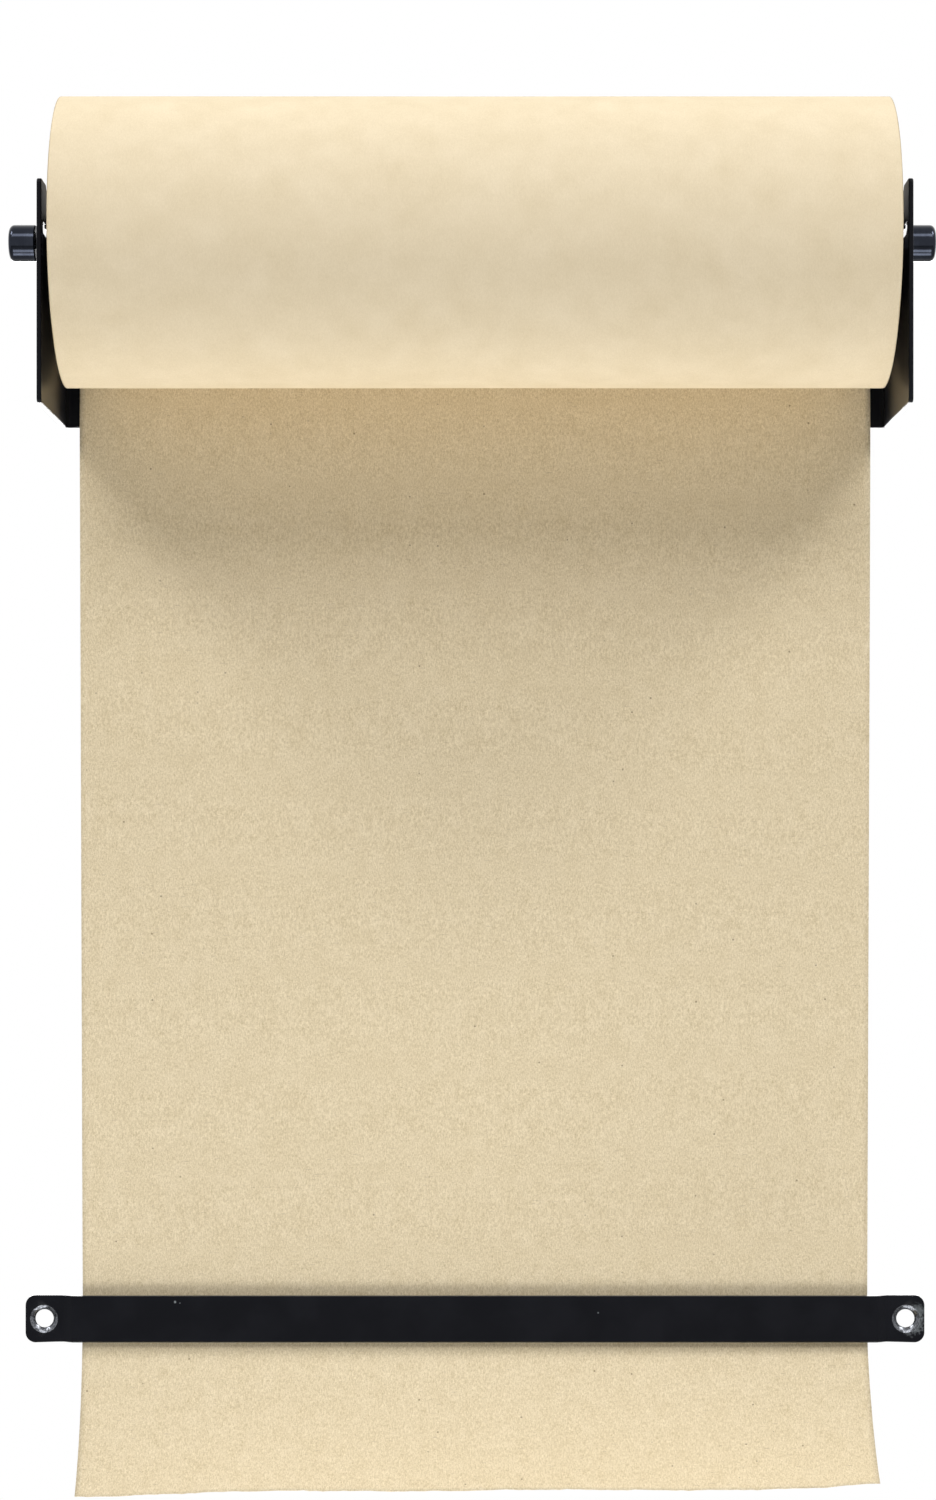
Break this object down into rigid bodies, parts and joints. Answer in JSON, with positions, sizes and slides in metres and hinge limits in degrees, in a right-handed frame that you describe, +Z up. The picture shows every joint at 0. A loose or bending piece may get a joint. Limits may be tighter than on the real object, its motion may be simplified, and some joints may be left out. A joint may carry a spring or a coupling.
{
  "type": "wall-mounted paper roll holder",
  "caption": "Wall-mounted kraft paper roll on a drop-in rod between two bent steel brackets, its sheet hanging behind a separate cut bar.",
  "frame": {"origin": "on the wall plane, in the middle of the four bracket screw holes", "axes": "+X to the viewer's right along the rod, +Y into the wall so that the front faces -Y, +Z up"},
  "size_m": [0.2326, 0.0739, 0.3475],
  "materials": {
    "powder_black": "fine satin powder coat",
    "rod_black": "smooth satin black finish on turned steel",
    "kraft_paper": "matte uncoated kraft",
    "core_board": "matte spiral-wound board",
    "plug_black": "matte moulded"
  },
  "bodies": {
    "wall_parts": {"left_bracket": "powder_black", "right_bracket": "powder_black", "cut_bar": "powder_black", "paper_web": "kraft_paper"},
    "rod": {"spindle_rod": "rod_black"},
    "roll": {"paper_roll": "kraft_paper", "roll_core": "core_board", "left_core_plug": "plug_black", "right_core_plug": "plug_black"}
  },
  "joints": [
    {"name": "rod_lift", "type": "slide", "parent": "wall_parts", "child": "rod", "axis": [0, 0, 1], "range_m": [0, 0.03]},
    {"name": "roll_spin", "type": "hinge", "parent": "rod", "child": "roll", "pos_m": [0, -0.03835, 0.0135], "axis": [1, 0, 0], "continuous": true}
  ]
}
